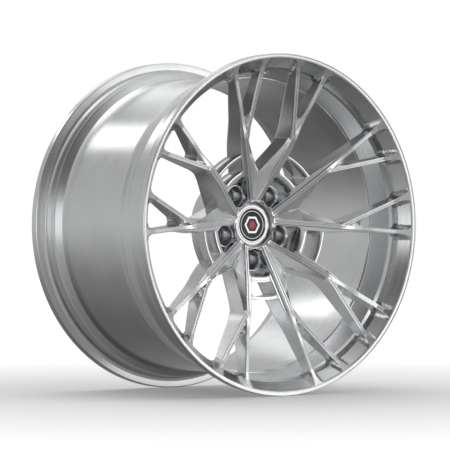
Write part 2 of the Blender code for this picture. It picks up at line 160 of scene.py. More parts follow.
def turnedPart(profile, segments, centre=(0.0, 0.0)):
    # Closed profile (radius, depth) carried round an axis parallel to Y through centre (x, z).
    points = place(profile[None, :, 0], turns(segments), profile[None, :, 1])
    shift = np.array([centre[0], 0, centre[1]]) * metres
    return gridPart(points + shift, wrapRows=True, wrapCols=True)


def openTurned(profile, segments):
    # Open profile (radius, depth) carried round the wheel's axis.
    points = place(profile[None, :, 0], turns(segments), profile[None, :, 1])
    return gridPart(points, wrapRows=True)


# Colour, roughness and turning marks of each material; the flank shade factor is painted shade,
# darkening the colour of faces that turn away from the wheel's axis, such as the spokes' milled
# sides.
aluminium = (0.86, 0.87, 0.88)
finishes = {
    "turned_aluminium": {
        "colour": aluminium, "roughness": 0.24, "lineScale": 900, "lineDepth": 0.03,
    },
    "milled_aluminium": {
        # The 0.86 flank shade is painted shade: the spokes' side faces get a darker colour.
        "colour": aluminium, "roughness": 0.2, "lineScale": 500, "lineDepth": 0.03, "flankShade": 0.86,
    },
    "seat_steel": {
        "colour": (0.42, 0.43, 0.45), "roughness": 0.3, "lineScale": 1500, "lineDepth": 0.15,
    },
    "bright_chrome": {
        "colour": (0.62, 0.62, 0.63), "roughness": 0.18, "lineScale": 1500, "lineDepth": 0.05,
    },
    "anthracite_lacquer": {
        "colour": (0.035, 0.037, 0.042), "roughness": 0.28, "lineScale": 700, "lineDepth": 0.05,
        "metallic": 0.3,
    },
    "red_enamel": {
        "colour": (0.55, 0.03, 0.03), "roughness": 0.25, "lineScale": 400, "lineDepth": 0.03,
        "metallic": 0.0,
    },
    "black_plastic": {
        "colour": (0.03, 0.03, 0.032), "roughness": 0.5, "lineScale": 1200, "lineDepth": 0.2,
        "metallic": 0.0,
    },
}
grain = {
    "noiseSpan": (0.3, 0.7),  # where nearly all noise values lie
    "cloudScale": 14.0, "cloudDetail": 4, "ringDetail": 3,
    "roughnessSpread": (0.8, 1.25),
    "colourSpread": (0.93, 1.04),
    "bumpDistance": 0.0002,  # metres
}


def newMaterial(name, colour, metallic, roughness):
    material = bpy.data.materials.new(name)
    material.use_nodes = True
    tree = material.node_tree
    shader = tree.nodes["Principled BSDF"]
    shader.inputs["Base Color"].default_value = (*colour, 1)
    shader.inputs["Metallic"].default_value = metallic
    shader.inputs["Roughness"].default_value = roughness
    return material, tree, shader


def mathNode(tree, operation, a, b=None):
    node = tree.nodes.new("ShaderNodeMath")
    node.operation = operation
    for socket, value in zip(node.inputs, (a, b)):
        if value is None:
            continue
        if isinstance(value, (int, float)):
            socket.default_value = value
        else:
            tree.links.new(value, socket)
    return node.outputs[0]


def mapRange(tree, value, start, end, low=0.0, high=1.0, kind="LINEAR"):
    # Carries start to low and end to high, and holds the ends.
    node = tree.nodes.new("ShaderNodeMapRange")
    node.interpolation_type = kind
    tree.links.new(value, node.inputs["Value"])
    sockets = ("From Min", "From Max", "To Min", "To Max")
    for socket, number in zip(sockets, (start, end, low, high)):
        node.inputs[socket].default_value = number
    return node.outputs["Result"]


def noise(tree, scale, detail, socket, value, dimensions="3D"):
    node = tree.nodes.new("ShaderNodeTexNoise")
    node.noise_dimensions = dimensions
    node.inputs["Scale"].default_value = scale
    node.inputs["Detail"].default_value = detail
    tree.links.new(value, node.inputs[socket])
    return node.outputs[0]


def machined(name, colour, roughness, lineScale, lineDepth, metallic=1.0, flankShade=1.0):
    # Fine rings by distance from the axis plus depth, cloudy roughness and faint colour drift.
    material, tree, shader = newMaterial(name, colour, metallic, roughness)
    texture = tree.nodes.new("ShaderNodeTexCoord")
    position = texture.outputs["Object"]
    split = tree.nodes.new("ShaderNodeSeparateXYZ")
    tree.links.new(position, split.inputs[0])
    x, y, z = split.outputs
    squares = [mathNode(tree, "MULTIPLY", side, side) for side in (x, z)]
    distance = mathNode(tree, "SQRT", mathNode(tree, "ADD", *squares))
    across = mathNode(tree, "ADD", distance, y)
    rings = noise(tree, lineScale, grain["ringDetail"], "W", across, "1D")
    clouds = noise(tree, grain["cloudScale"], grain["cloudDetail"], "Vector", position)
    halves = [mathNode(tree, "MULTIPLY", part, 0.5) for part in (rings, clouds)]
    mixed = mathNode(tree, "ADD", *halves)
    low, high = [roughness * share for share in grain["roughnessSpread"]]
    rough = mapRange(tree, mixed, *grain["noiseSpan"], low, high)
    tree.links.new(rough, shader.inputs["Roughness"])
    tint = tree.nodes.new("ShaderNodeMix")
    tint.data_type = "RGBA"
    for socket, share in zip(("A", "B"), grain["colourSpread"]):
        tint.inputs[socket].default_value = (*[min(1, c * share) for c in colour], 1)
    tree.links.new(mapRange(tree, clouds, *grain["noiseSpan"]), tint.inputs["Factor"])
    # Painted shade: faces whose normals turn away from the wheel's axis, such as the spokes' sides,
    # get a colour darkened by the flank shade factor.
    shade = tree.nodes.new("ShaderNodeMix")
    shade.data_type = "RGBA"
    shade.blend_type = "MULTIPLY"
    shade.inputs["B"].default_value = (flankShade, flankShade, flankShade, 1)
    normal = tree.nodes.new("ShaderNodeSeparateXYZ")
    tree.links.new(texture.outputs["Normal"], normal.inputs[0])
    facing = mathNode(tree, "ABSOLUTE", normal.outputs["Y"])
    tree.links.new(mathNode(tree, "SUBTRACT", 1.0, facing), shade.inputs["Factor"])
    tree.links.new(tint.outputs["Result"], shade.inputs["A"])
    tree.links.new(shade.outputs["Result"], shader.inputs["Base Color"])
    bump = tree.nodes.new("ShaderNodeBump")
    bump.inputs["Strength"].default_value = lineDepth
    bump.inputs["Distance"].default_value = grain["bumpDistance"]
    tree.links.new(rings, bump.inputs["Height"])
    tree.links.new(bump.outputs["Normal"], shader.inputs["Normal"])
    return material


materials = {name: machined(name, **values) for name, values in finishes.items()}
turnedAluminium, milledAluminium = materials["turned_aluminium"], materials["milled_aluminium"]
chrome, seatSteel = materials["bright_chrome"], materials["seat_steel"]
print("materials ready")

rim = {
    "segments": 320,
    # Corners (radius, depth, fillet) from the lip round the front flange to the joint, and back
    # inside.
    "outer": [
        (250.0, 20.5, 1.5), (263.6, 4.6, 0.5), (264.3, 2.2, 0.6), (268.2, 1.2, 0.2),
        (268.5, 1.9, 0.1), (269.1, 1.9, 0.1), (269.4, 0.6, 0.3), (270.4, 0.2, 0.4),
        (271.3, 1.3, 0.7), (271.3, 13.6, 0.6), (269.8, 15.0, 0.8), (260.5, 15.4, 3.0),
        (256.0, 17.6, 2.5), (253.8, 22.0, 3.0), (252.6, 38.0, 2.0), (254.0, 40.4, 1.5),
        (254.0, 42.6, 1.5), (252.0, 45.6, 1.5), (252.0, 68.0, 4.0), (250.0, 77.9, 0.3),
    ],
    "inner": [(237.0, 77.9, 0.3), (237.0, 75.0, 2.0), (246.0, 40.0, 1.5), (246.0, 31.0, 0.6)],
    # (depth, radius) of the inner wall: cone, step face, cylinder, then cone again.
    "wall": [
        (0.0, 268.0), (4.6, 263.8), (20.5, 250.0), (31.0, 246.0), (40.0, 246.0), (75.0, 237.0),
    ],
    # (depth, radius) of the outer side where the valve hole comes out.
    "seat": [
        (22.0, 253.8), (38.0, 252.6), (40.4, 254.0), (42.6, 254.0), (45.6, 252.0), (68.0, 252.0),
    ],
    "betweenWalls": 249.0,  # a radius between the two walls at the valve
    "valveAngle": 90.0, "valveDepth": 49.5, "valveRadius": 5.65,
    "valveReach": 9,  # half the depth of the block of quads round the hole
    "valveRows": 7, "valveBeside": 2,  # rows of that block, and quads on each side of the hole
    "rowGap": 0.4, "holeDensity": 8, "holeSteps": (0.35, 0.7, 0.93, 1.0),
}
barrel = {
    "outer": [
        (249.8, 78.3, 0.3), (241.9, 108.0, 12.0), (240.5, 117.0, 6.0), (240.5, 270.0, 3.0),
        (242.5, 274.5, 3.0), (251.0, 282.6, 2.0), (254.0, 284.6, 1.2), (254.0, 286.6, 1.2),
        (252.8, 289.2, 2.0), (253.8, 300.5, 3.0), (255.8, 304.4, 2.5), (260.5, 306.6, 3.0),
        (269.8, 307.0, 0.8), (271.3, 308.4, 0.6), (271.3, 320.6, 0.8), (269.8, 322.0, 0.8),
        (261.5, 322.0, 1.2),
    ],
    "inner": [
        (258.5, 319.0, 1.5), (247.5, 305.0, 4.0), (246.0, 286.0, 3.0), (235.0, 272.0, 4.0),
        (234.5, 120.0, 6.0), (235.4, 79.2, 0.6), (236.2, 78.3, 0.3),
    ],
}


def wallRadius(depth):
    return tabled(rim["wall"], depth)


def seatRadius(depth):
    return tabled(rim["seat"], depth)


def denserRows(profile, radii, low, high, inner):
    # Replaces the profile's points between two depths on one wall by evenly spaced ones.
    depths = np.linspace(low, high, rim["valveRows"])
    rows = np.stack([radii(depths), depths], -1)
    onWall = (profile[:, 0] < rim["betweenWalls"]) == inner
    gap = rim["rowGap"]
    drop = onWall & (profile[:, 1] > low - gap) & (profile[:, 1] < high + gap)
    first = int(np.argmax(drop))
    rest = profile[~drop]
    rows = rows[::-1] if inner else rows
    return np.vstack([rest[:first], rows, rest[first:]]), first


def holeRings(block, radii, angleAt):
    # Rings from the border of a removed block of quads to the valve hole's circle, on one wall:
    # each ring is the border moved towards the circle of the hole by a share of the way.
    border = np.concatenate([block[0, :-1], block[:-1, -1], block[-1, :0:-1], block[:0:-1, 0]])
    closedBorder = np.vstack([border, border[:1]])
    steps = np.linspace(0, len(border), rim["holeDensity"] * len(border), endpoint=False)
    fraction = (steps % 1)[:, None]
    whole = steps.astype(int)
    border = closedBorder[whole] * (1 - fraction) + closedBorder[whole + 1] * fraction
    along = border[:, 1] + (halfWidth - rim["valveDepth"]) * metres
    flat = np.stack([border[:, 0], along], -1) / metres
    turn = np.arctan2(flat[:, 1], flat[:, 0])
    circle = rim["valveRadius"] * np.stack([np.cos(turn), np.sin(turn)], -1)
    rings = [border]
    for share in rim["holeSteps"]:
        spot = flat + (circle - flat) * share
        depth = rim["valveDepth"] + spot[:, 1]
        radius = radii(depth)
        rings.append(place(radius, angleAt - np.arcsin(spot[:, 0] / radius), depth))
    return np.stack(rings, 1)


def frontRingParts():
    # The ring's grid without the two blocks at the valve, and a skin from wall to wall through it.
    low, high = rim["valveDepth"] - rim["valveReach"], rim["valveDepth"] + rim["valveReach"]
    profile = filleted(rim["outer"] + rim["inner"])
    profile, outerFirst = denserRows(profile, seatRadius, low, high, False)
    profile, innerFirst = denserRows(profile, wallRadius, low, high, True)
    points = place(profile[None, :, 0], turns(rim["segments"]), profile[None, :, 1])
    vertices, quads = gridPart(points, wrapRows=True, wrapCols=True)
    row, column = quads[:, 0] // len(profile), quads[:, 0] % len(profile)
    middle = round(rim["segments"] * rim["valveAngle"] / 360)
    beside, rowCount = rim["valveBeside"], rim["valveRows"]
    nearRow = (row >= middle - beside) & (row < middle + beside)
    starts = np.array([outerFirst, innerFirst])[:, None]
    nearColumn = ((column >= starts) & (column < starts + rowCount - 1)).any(0)
    quads = quads[~(nearRow & nearColumn)]
    angleAt = math.radians(rim["valveAngle"])
    rows = slice(middle - beside, middle + beside + 1)
    outer = holeRings(points[rows, outerFirst:outerFirst + rowCount], seatRadius, angleAt)
    innerBlock = points[rows, innerFirst:innerFirst + rowCount][:, ::-1]
    inner = holeRings(innerBlock, wallRadius, angleAt)
    skin = np.concatenate([outer, inner[:, ::-1]], 1)
    return [(vertices, quads), gridPart(skin, wrapRows=True)]


buildPiece(
    "front_rim_ring", frontRingParts(), turnedAluminium, "wheel", ["forged_face"],
)
barrelPart = turnedPart(filleted(barrel["outer"] + barrel["inner"]), rim["segments"])
buildPiece("rim_barrel", [barrelPart], turnedAluminium, "wheel", ["inner_barrel"])

spoke = {
    # Centre lines, as (along the pair's middle, across): a stem to the bend, then two limbs.
    "stemStart": (48.0, 10.0), "bend": (136.2, 46.9),
    "innerTip": (256.8, 34.2), "outerTip": (246.0, 93.0),
    "outerRun": (110.5, 44.3), "innerRun": (125.8, 15.0),  # directions that set the fork's angle
    # (radius, depth) of the ridge's top and of the back.
    "face": [
        (0, 80), (40, 78), (49, 75), (96, 56.5), (144, 39), (200, 24.5), (240, 14), (252, 9.5),
        (258, 6.3), (264, 3.0), (275, -1),
    ],
    "back": [
        (30, 118), (79, 106), (110, 94), (144, 80), (200, 54), (238, 35), (255, 24), (275, 18),
    ],
    # Half widths of the ridge, of the shelf beside it and of the wall of the bolt's pocket.
    "ridge": 3.7, "shelf": 10.5, "pocketWall": 5.7, "draft": 0.06,
    "forkFillet": 6.5, "lipFillet": 10.5, "blendRadius": 85.0, "blendReach": 22.0,
    "channel": 1.5,  # depth of the groove along the ridge
    # Across the ridge: offset, and 1 where the groove's floor is.
    "rails": [
        (1.6, 0), (1.25, 0), (0.75, 1), (0.35, 1), (-0.35, 1), (-0.75, 1), (-1.25, 0), (-1.6, 0),
    ],
    "shelfDrop": 5.0, "dropStart": 140, "limbDrops": [(176, 1.4), (200, 0.6), (275, 0.6)],
    # Edge between the valley facet and the pair's window, in plan and as (radius, depth).
    "edgeStart": (86.0, 0.0), "edgeEnd": (139.5, 43.2),
    "edgeLine": [(42.0, 80.5), (86.0, 70.0), (146.0, 43.0)],
    # Radii over which one shape turns into the next.
    "bendEnd": 146.0, "forkSpan": (145.8, 147.2), "limbSpan": (144, 172), "dipEnd": (176, 204),
    "taperSpan": (120, 188), "pocketSpan": (81, 84), "webSpan": (176, 190),
    "stemGroove": (144, 152), "limbGroove": (236, 252),
    # The outer limb starts lower and narrower than the ridge, which turns into the inner limb.
    "limbDip": 1.1, "limbStep": 0.2, "limbNarrowing": 0.6, "shelfTail": 0.8,
    "web": 3.6, "webEdge": 0.8,  # how far the fork's web lies below the ridge
    # Small roundings of the ridge's top, as insets, and (inset, drop) of its two edges.
    "crown": (0.5, 0.8), "crownFlare": 0.8, "crownEdge": (0.1, 0.35), "shoulder": (0.2, 0.12),
    "ridgeDraft": 0.05, "ridgeFoot": 0.5,
    # The shelf: its rounding, then shares of it at the brim, on the flat and at the ridge's foot.
    "shelfRound": 0.9, "brimShare": 0.25, "flatShares": (1.0, 1.6), "footShares": (0.35, 0.3, 0.4),
    # Flanks: depths of the first rows under an edge, insets of the web, and the rounded back.
    "underEdge": (0.6, 1.2), "underRidge": 1.0, "outerWebInset": 0.5, "innerWebInset": 0.4,
    "backRound": (0.6, 2.2), "backStart": 2.0,
    "facetStart": 0.3, "facetShares": (0.05, 0.33, 0.66, 0.95),
    "flankRows": 9, "flankCrowding": 0.1,
    "limbStart": 143, "intoRim": 2.5,  # where the inner limb's skin begins, and how far both run on
    "clearance": (0.03, 0.05),  # between the two limbs' skins inside the stem, at face and back
    # Radii of the sections: (from, to, step), closer together where the shape changes fast.
    "stations": [
        (38, 80, 2.0), (80, 88, 0.5), (88, 136, 2.0), (136, 148, 0.5), (148, 172, 2.0),
        (172, 198, 0.5), (198, 234, 2.5), (234, 269, 0.75),
    ],
}
bendRadius = math.hypot(*spoke["bend"])
limbRuns = [math.atan2(across, along) for along, across in (spoke["outerRun"], spoke["innerRun"])]
limbSplit = sum(limbRuns) / 2  # half the angle between the two limbs


def faceDepth(radius):
    return tabled(spoke["face"], radius)


def backDepth(radius):
    return tabled(spoke["back"], radius)


def lineAngle(radius, start, end):
    # Polar angle where the line from start to end crosses the circle of this radius.
    start, end = np.array(start, float), np.array(end, float)
    along = (end - start) / np.linalg.norm(end - start)
    reach = start @ along
    offset = np.linalg.norm(start - reach * along)
    travel = np.sqrt(np.maximum(radius ** 2 - offset ** 2, 0))
    point = (start - reach * along) + travel[..., None] * along
    return np.arctan2(point[..., 1], point[..., 0])


def limbCentre(radius, tip):
    # Centre line's polar angle: along the stem to the bend, then straight to the limb's tip.
    stem = lineAngle(radius, spoke["stemStart"], spoke["bend"])
    limb = lineAngle(radius, spoke["bend"], spoke[tip])
    return np.where(radius < bendRadius, stem, limb)


def outerCentre(radius):
    return limbCentre(radius, "outerTip")


def innerCentre(radius):
    return limbCentre(radius, "innerTip")


def quarterRound(into, fillet):
    # Growth of a concave quarter round: fillet - sqrt(fillet^2 - into^2).
    return fillet - np.sqrt(fillet ** 2 - into ** 2)


def forkSide(radius, depth):
    # Half width towards the fork: the bisector below the rounded root, then the drafted side.
    half = spoke["ridge"] + spoke["draft"] * (depth - faceDepth(radius))
    fillet = spoke["forkFillet"]
    apart = radius * (outerCentre(radius) - innerCentre(radius)) / 2
    centre = bendRadius + (half + fillet) / math.sin(limbSplit)
    chord = np.sqrt(np.clip(fillet ** 2 - (radius - centre) ** 2, 0, None))
    rounded = apart - np.where(radius < centre, chord, fillet)
    tangent = centre - fillet * math.sin(limbSplit)
    return np.where(radius < tangent, np.maximum(rounded, 0.0), half)


def bendBlend(radius):
    # Concave blend where the stem turns into the inner limb: (reach - distance)^2 / (2 radius).
    into = np.clip(spoke["blendReach"] - np.abs(radius - spoke["bendEnd"]), 0, None)
    return into ** 2 / (2 * spoke["blendRadius"])


def lipFlare(radius, depth):
    # Concave quarter round where a window's corner meets the rim's inner wall.
    fillet = spoke["lipFillet"]
    return quarterRound(np.clip(radius - (wallRadius(depth) - fillet), 0, fillet), fillet)


def sideLevels(top, bottom):
    # Depths down a flank from top to bottom, closer together near the two edges.
    share = np.linspace(0, 1, spoke["flankRows"])[:, None]
    share = share - spoke["flankCrowding"] * np.sin(fullTurn * share)
    return top + (bottom - top) * share


def pairEdge(radius):
    # Angle and depth of the sharp edge between the valley facet and the pair's window.
    (nearRadius, nearDepth), (turnRadius, turnDepth), (farRadius, farDepth) = spoke["edgeLine"]
    clear = np.maximum(radius, turnRadius + 0.5)  # outside the line's own start
    line = lineAngle(clear, spoke["edgeStart"], spoke["edgeEnd"])
    inner = nearDepth + (radius - nearRadius) / (turnRadius - nearRadius) * (turnDepth - nearDepth)
    outer = turnDepth + (radius - turnRadius) / (farRadius - turnRadius) * (farDepth - turnDepth)
    inside = radius < turnRadius
    return np.where(inside, 0.0, line), np.where(inside, inner, outer)


def webDepth(radius):
    # Depth of the web in the fork: below the ridge near the bend, level with it further out.
    below = spoke["web"] * (1 - smooth(radius, *spoke["webSpan"]))
    return faceDepth(radius) + below + spoke["webEdge"]


def crownRows(radius, ridge, flare, face, channel):
    # Top of a ridge from its positive to its negative edge, with the groove between its rails.
    outerInset, innerInset = spoke["crown"]
    edgeInset, edgeDrop = spoke["crownEdge"]
    less = flare * spoke["crownFlare"]
    rows = [(ridge - outerInset + flare, face), (ridge - innerInset + less, face)]
    rows += [(offset + 0 * radius, face + sunk * channel) for offset, sunk in spoke["rails"]]
    rows += [(-(ridge - innerInset) - less, face), (-(ridge - outerInset) - flare, face)]
    return rows + [(-(ridge - edgeInset) - flare, face + edgeDrop)]


def backRows(negative, positive, back):
    # The rounded back, from the negative flank to the positive one.
    small, large = spoke["backRound"]
    return [
        (-(negative - small), back - small), (-(negative - large), back),
        (positive - large, back), (positive - small, back - small),
    ]


def stacked(rows, radius):
    # Rows of (offset, depth) to two grids, one column for each row.
    return [np.stack([np.broadcast_to(row[k], radius.shape) for row in rows], -1) for k in (0, 1)]


def outerSection(radius):
    # One ring of (offset, depth) for each radius, lug side positive: lug flank, shelf, ridge with
    # groove, valley facet, pair flank and back.
    onLimb = smooth(radius, *spoke["limbSpan"])
    dip = spoke["limbDip"] * onLimb * (1 - smooth(radius, *spoke["dipEnd"]))
    face = faceDepth(radius) + dip + spoke["limbStep"] * onLimb
    back = backDepth(radius)
    ridge = spoke["ridge"] - spoke["limbNarrowing"] * onLimb
    tail = ridge + spoke["shelfTail"] - spoke["shelf"]
    shelfHalf = spoke["shelf"] + tail * smooth(radius, *spoke["taperSpan"])
    wall = spoke["pocketWall"]
    pocket = wall + (shelfHalf - wall) * smooth(radius, *spoke["pocketSpan"])
    shelfHalf = np.where(radius < spoke["pocketSpan"][1], pocket, shelfHalf)
    drop = tabled([(spoke["dropStart"], spoke["shelfDrop"])] + spoke["limbDrops"], radius)
    shelf = face + drop
    low = back - spoke["backStart"]

    def lug(depth):
        return shelfHalf + spoke["draft"] * (depth - shelf) + lipFlare(radius, depth)

    def pair(depth):
        angle, edgeDepth = pairEdge(radius)
        drafted = spoke["draft"] * (depth - edgeDepth)
        stem = radius * (outerCentre(radius) - angle) + drafted + bendBlend(radius)
        fork = forkSide(radius, depth) + lipFlare(radius, depth)
        share = smooth(radius, *spoke["forkSpan"])
        return stem * (1 - share) + fork * share

    levels = sideLevels(shelf + spoke["shelfRound"], low)[::-1]
    rows = [(lug(depth), depth) for depth in levels]
    flare = lipFlare(radius, face)
    base = ridge + spoke["ridgeDraft"] + flare
    brim = np.maximum(lug(shelf), base + spoke["ridgeFoot"])
    inset = np.minimum((brim - base) / 4, spoke["shelfRound"])
    rounding = spoke["brimShare"] * inset
    rows += [(brim - rounding, shelf + rounding)]
    rows += [(brim - share * inset, shelf) for share in spoke["flatShares"]]
    rows += [(base + share * inset, shelf) for share in spoke["flatShares"][::-1]]
    along, up, down = spoke["footShares"]
    step = np.minimum(drop, 1)
    rows += [(base + along * inset, shelf - up * step), (base, face + down * step)]
    shoulderInset, shoulderDrop = spoke["shoulder"]
    rows += [(ridge - shoulderInset + flare, face + shoulderDrop)]
    groove = spoke["channel"] * (1 - smooth(radius, *spoke["stemGroove"]))
    rows += crownRows(radius, ridge, flare, face, groove)
    upper, lower = spoke["underEdge"]
    edgeDepth = np.maximum(pairEdge(radius)[1], face + upper)
    top = np.where(radius < spoke["bendEnd"], edgeDepth, webDepth(radius))
    near = np.minimum(ridge + spoke["ridgeFoot"] + flare, pair(top))
    begin = spoke["facetStart"]
    rows += [(-near, face + (top - face) * begin)]
    for share in spoke["facetShares"]:
        offset = near + (pair(top) - near) * share
        rows.append((-offset, face + (top - face) * (begin + (1 - begin) * share)))
    cornered = pair(top) - spoke["outerWebInset"] * (pair(top) > 1)
    rows += [(-cornered, top), (-pair(top + upper), top + upper)]
    rows += [(-pair(depth), depth) for depth in sideLevels(top + lower, low)]
    rows += backRows(pair(back), lug(back), back)
    return stacked(rows, radius)


def innerSection(radius):
    # One ring of (offset, depth) for each radius of the inner limb, fork side positive. It stands
    # a hair off the outer limb's stem, so that the two skins are never in one plane.
    faceGap, backGap = spoke["clearance"]
    face, back = faceDepth(radius) + faceGap, backDepth(radius) - backGap
    ridge = spoke["ridge"]
    flare = lipFlare(radius, face)
    web = webDepth(radius)
    low = back - spoke["backStart"]
    upper, lower = spoke["underEdge"]
    edgeInset, edgeDrop = spoke["crownEdge"]

    def fork(depth):
        return forkSide(radius, depth) + lipFlare(radius, depth)

    def pair(depth):
        drafted = ridge + spoke["draft"] * (depth - face)
        return drafted + lipFlare(radius, depth) + bendBlend(radius)

    rows = [(fork(depth), depth) for depth in sideLevels(web + lower, low)[::-1]]
    cornered = fork(web) - spoke["innerWebInset"] * (fork(web) > 1)
    rows += [(fork(web + upper), web + upper), (cornered, web)]
    near = np.minimum(ridge + spoke["ridgeFoot"] + flare, fork(web))
    halfway = face + (web - face) * 0.5
    rows += [(near, halfway), (ridge - edgeInset + flare, face + edgeDrop)]
    groove = spoke["channel"] * (1 - smooth(radius, *spoke["limbGroove"]))
    rows += crownRows(radius, ridge, flare, face, groove)
    levels = sideLevels(face + spoke["underRidge"], low)
    rows += [(-pair(depth), depth) for depth in levels]
    rows += backRows(pair(back), fork(back), back)
    return stacked(rows, radius)


outerRadii = np.concatenate([np.arange(*span) for span in spoke["stations"]])
innerRadii = outerRadii[outerRadii >= spoke["limbStart"]]


def limbPart(radii, section, centre, angle, mirror):
    # Sections carried outwards: angle = pair angle + mirror * (centre angle + offset / radius).
    offsets, depths = section(radii)
    polar = centre(radii)[:, None] + offsets / radii[:, None]
    reach = np.minimum(radii[:, None], wallRadius(depths) + spoke["intoRim"])
    points = place(reach, angle + mirror * polar, depths)
    return gridPart(points, wrapCols=True, capRows=True)


for number, pairAngle in enumerate(pairAngles):
    parts = []
    for mirror in (1, -1):
        parts.append(limbPart(outerRadii, outerSection, outerCentre, pairAngle, mirror))
        parts.append(limbPart(innerRadii, innerSection, innerCentre, pairAngle, mirror))
    name = f"spoke_pair_{number + 1}"
    buildPiece(name, parts, milledAluminium, "wheel", ["forged_face"])

bridge = {
    # Radii of the two bands, and degrees from the lug's middle to where each edge ends in a corner.
    "bands": [((83.5, 15.0), (92.0, 12.9)), ((115.0, 12.9), (120.0, 13.9))],
    "corner": 5.0, "sweep": 20, "columns": 61,
    "frontDrop": 0.15, "backLift": 0.3,
    "slope": -0.38,  # depth for each mm of radius, along the turned face
    "frontRound": [(0.0, 1.0), (0.25, 0.3), (0.9, 0.0)],  # (inset, depth below the front)
    "backRound": [(0.0, 1.5), (1.2, 0.0)],  # (inset, depth above the back)
}


def cornerRound(angle, edge, radius):
    # Extra width near a slot's end: quarter round of the corner radius over the arc's last part.
    fillet = bridge["corner"]
    into = np.clip(np.abs(angle) * radius - (edge * radius - fillet), 0, fillet)
    return quarterRound(into, fillet)


def bandPart(lugAngle, innerSide, outerSide):
    # Arc band: a rounded box section carried along the angle, wider where it runs into the stems.
    (inner, innerEdge), (outer, outerEdge) = innerSide, outerSide
    sweep = math.radians(bridge["sweep"])
    angle = np.linspace(-sweep, sweep, bridge["columns"])
    low = inner - cornerRound(angle, math.radians(innerEdge), inner)
    high = outer + cornerRound(angle, math.radians(outerEdge), outer)
    middle = (inner + outer) / 2
    front = faceDepth(middle) + spoke["shelfDrop"] + bridge["frontDrop"]
    back = backDepth(middle) - bridge["backLift"]
    lowBack = [(low + inset, back - lift) for inset, lift in bridge["backRound"]]
    lowFront = [(low + inset, front + lift) for inset, lift in bridge["frontRound"]]
    highFront = [(high - inset, front + lift) for inset, lift in bridge["frontRound"]]
    highBack = [(high - inset, back - lift) for inset, lift in bridge["backRound"]]
    rows = lowBack[:1] + lowFront + highFront[::-1] + highBack + lowBack[1:]
    radii = np.stack([radius for radius, _ in rows], -1)
    slope = bridge["slope"]
    depths = np.stack([depth + slope * (radius - middle) for radius, depth in rows], -1)
    points = place(radii, lugAngle + angle[:, None], depths)
    return gridPart(points, wrapCols=True, capRows=True)


for number, lugAngle in enumerate(lugAngles):
    parts = [bandPart(lugAngle, *band) for band in bridge["bands"]]
    name = f"bridge_{number + 1}"
    buildPiece(name, parts, milledAluminium, "wheel", ["forged_face"])

hub = {
    "boltCircle": 56.0, "segments": 192, "holeSegments": 96, "sector": 36, "farthest": 120,
    "floorSpan": (37.6, 84.5), "rearSpan": (34.8, 77.5),  # inner and outer radius of each face
    # (distance from the bolt's axis, depth): mouth and pocket floor, socket and stud bore, rear.
    "pocket": [
        (14.8, 89.4), (16.9, 86.7), (17.2, 86.4), (18.0, 86.4), (18.4, 86.9), (18.8, 88.0),
        (20.0, 94.0), (21.2, 95.6), (60.0, 95.6),
    ],
    "socket": [
        (14.5, 90.2), (14.5, 95.0), (14.5, 129.6), (14.2, 130.0), (8.3, 130.0), (7.9, 130.4),
        (7.9, 146.2), (8.7, 147.0),
    ],
    "rear": [(8.7, 147.0), (12.0, 147.0), (20.0, 147.0), (60.0, 147.0)],
    # (radius, depth) of the drum's side and of the centre bore with its recess and groove.
    "side": [
        (84.5, 95.6), (84.5, 97.0), (83.8, 98.6), (80.2, 103.0), (79.3, 104.0), (79.0, 106.0),
        (79.0, 145.5), (78.6, 146.6), (77.5, 147.0),
    ],
    "bore": [
        (34.8, 147.0), (33.7, 146.6), (33.3, 145.5), (33.3, 122.4), (32.9, 122.0), (30.5, 122.0),
        (30.0, 121.5), (30.0, 107.0), (31.6, 105.4), (31.6, 102.6), (30.0, 101.0), (30.0, 95.5),
        (30.5, 95.0), (36.2, 95.0), (36.6, 94.6), (36.6, 88.9), (37.6, 88.4),
    ],
}


def roundLug(lugAngle, distance, turn, depth):
    # Points at a distance and turn from a bolt's axis.
    x = hub["boltCircle"] + distance * np.cos(turn)
    y = distance * np.sin(turn)
    return place(np.hypot(x, y), lugAngle + np.arctan2(y, x), depth)


def sectorPatch(lugAngle, steps, span):
    # Fifth of a face round one bolt hole: rays from the hole's centre, cut off at the border.
    turn = turns(hub["holeSegments"])
    rays = np.linspace(0, hub["farthest"], 10 * hub["farthest"] + 1)[None, :]
    x = hub["boltCircle"] + rays * np.cos(turn)
    y = rays * np.sin(turn)
    radius, angle = np.hypot(x, y), np.arctan2(y, x)
    inside = (radius > span[0]) & (radius < span[1]) & (np.abs(angle) < math.radians(hub["sector"]))
    reach = rays[0][np.argmin(inside, axis=1)][:, None]
    out = np.minimum(np.array(steps)[None, :, 0], reach)
    return roundLug(lugAngle, out, turn, tabled(steps, out))


drumParts = []
for lugAngle in lugAngles:
    # Pocket floor, chamfered mouth, socket, seat shoulder, stud bore and rear face in one skin.
    floorPatch = sectorPatch(lugAngle, hub["pocket"], hub["floorSpan"])[:, ::-1]
    socket = np.array(hub["socket"])
    bore = roundLug(lugAngle, socket[None, :, 0], turns(hub["holeSegments"]), socket[None, :, 1])
    rearPatch = sectorPatch(lugAngle, hub["rear"], hub["rearSpan"])[:, 1:]
    drumParts.append(gridPart(np.concatenate([floorPatch, bore, rearPatch], 1), wrapRows=True))
drumParts += [openTurned(np.array(hub[side]), hub["segments"]) for side in ("side", "bore")]
buildPiece("hub_drum", drumParts, turnedAluminium, "wheel", ["forged_face"])

hubRing = {
    "segments": 720, "outer": 43.0,
    "scallop": 16.6,  # radius of the circle cut out round each bolt
    "innerSteps": [(36.4, 90.0), (36.4, 87.2), (37.0, 83.4), (37.5, 83.2)],  # (radius, depth)
    # (distance past the scalloped border, depth)
    "outerSteps": [(-2.6, 79.2), (-1.9, 78.9), (-1.4, 79.0), (0.6, 82.6), (0.8, 83.4), (0.8, 90.0)],
}


